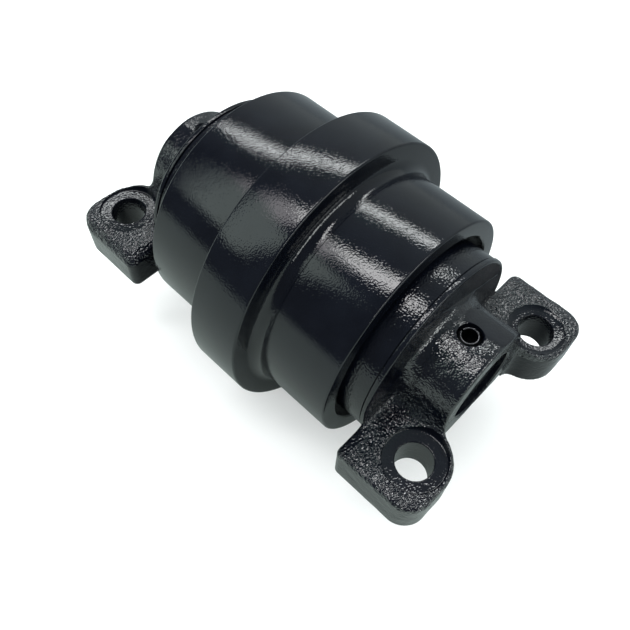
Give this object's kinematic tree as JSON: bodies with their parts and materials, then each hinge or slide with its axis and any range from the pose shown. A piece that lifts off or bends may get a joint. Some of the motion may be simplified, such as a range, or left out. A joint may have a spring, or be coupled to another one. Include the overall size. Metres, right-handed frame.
{
  "type": "track roller",
  "caption": "Double-tread track roller with a centre flange, turning on a fixed shaft between two bolt-on end collars.",
  "frame": {"origin": "centre of the roller on its axis, midway between the two collars", "axes": "+Y along the roller axis towards the right collar, +Z away from the mounting pads, +X across the roller"},
  "size_m": [0.127, 0.199, 0.127],
  "materials": {
    "gloss_paint": "glossy black paint over machined steel",
    "cast_paint": "glossy black paint over rough casting",
    "ground_steel": "hardened and ground",
    "bushing_bronze": "bronze lining, turned",
    "seal_iron": "cast, lapped on the sealing face",
    "seal_rubber": "moulded, matt",
    "pin_steel": "black oxide",
    "plug_steel": "zinc plated"
  },
  "bodies": {
    "frame_side": {"left_collar": "cast_paint", "right_collar": "cast_paint", "shaft": "ground_steel", "left_lock_pin": "pin_steel", "right_lock_pin": "pin_steel", "left_fixed_seal_ring": "seal_iron", "right_fixed_seal_ring": "seal_iron", "left_fixed_toric": "seal_rubber", "right_fixed_toric": "seal_rubber", "left_shaft_o_ring": "seal_rubber", "right_shaft_o_ring": "seal_rubber", "oil_plug": "plug_steel", "oil_plug_o_ring": "seal_rubber"},
    "roller": {"roller_shell": "gloss_paint", "left_bushing": "bushing_bronze", "right_bushing": "bushing_bronze", "left_turning_seal_ring": "seal_iron", "right_turning_seal_ring": "seal_iron", "left_turning_toric": "seal_rubber", "right_turning_toric": "seal_rubber"}
  },
  "joints": [
    {"name": "roller_spin", "type": "hinge", "parent": "frame_side", "child": "roller", "pos_m": [0, 0, 0], "axis": [0, 1, 0], "continuous": true}
  ]
}
